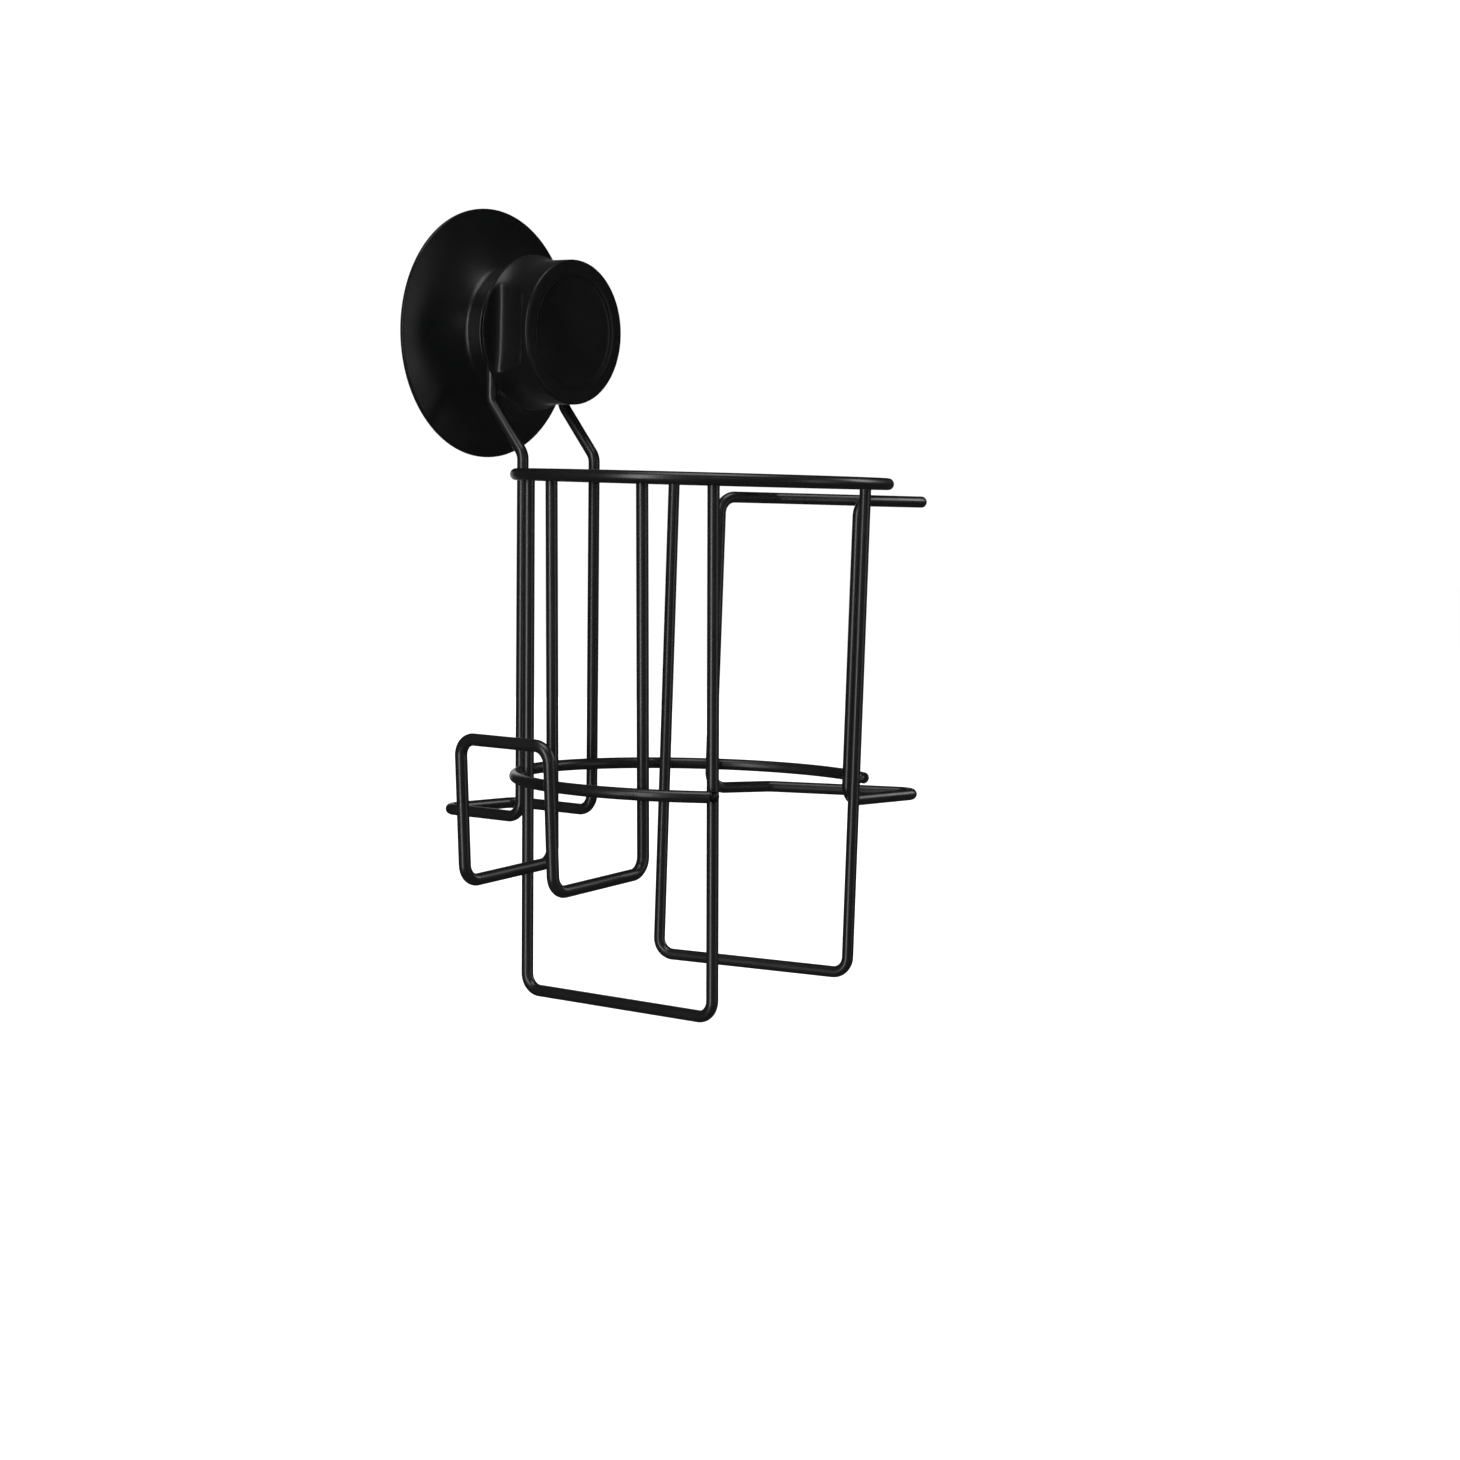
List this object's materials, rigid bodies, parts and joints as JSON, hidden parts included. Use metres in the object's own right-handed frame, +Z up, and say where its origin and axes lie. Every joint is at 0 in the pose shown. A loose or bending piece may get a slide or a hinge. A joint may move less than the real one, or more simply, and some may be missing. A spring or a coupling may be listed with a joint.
{
  "type": "hair dryer holder",
  "caption": "Wall holder for a hair dryer: a black wire basket with a cord hook and side loops that hangs on the neck of a rubber suction cup.",
  "frame": {"origin": "centre of the suction cup's rim, in the plane of the wall", "axes": "+Z up, +Y into the wall, so the holder stands out along -Y; the cord hook is on -X and the side loops on +X"},
  "size_m": [0.1563, 0.1317, 0.215],
  "materials": {
    "cup_rubber": "smooth moulded, soft sheen",
    "coated_wire": "satin black coated steel wire"
  },
  "bodies": {
    "cup": {"suction_cup": "cup_rubber"},
    "rack": {"hanger_wire": "coated_wire", "top_ring": "coated_wire", "lower_ring": "coated_wire", "cradle_wire_left": "coated_wire", "cradle_wire_right": "coated_wire", "cord_hook_wire": "coated_wire", "side_loop_wire": "coated_wire"}
  },
  "joints": [
    {"name": "rack_swivel", "type": "hinge", "parent": "cup", "child": "rack", "pos_m": [0, -0.0165, 0], "axis": [0, -1, 0], "range_deg": [-90, 90]}
  ]
}
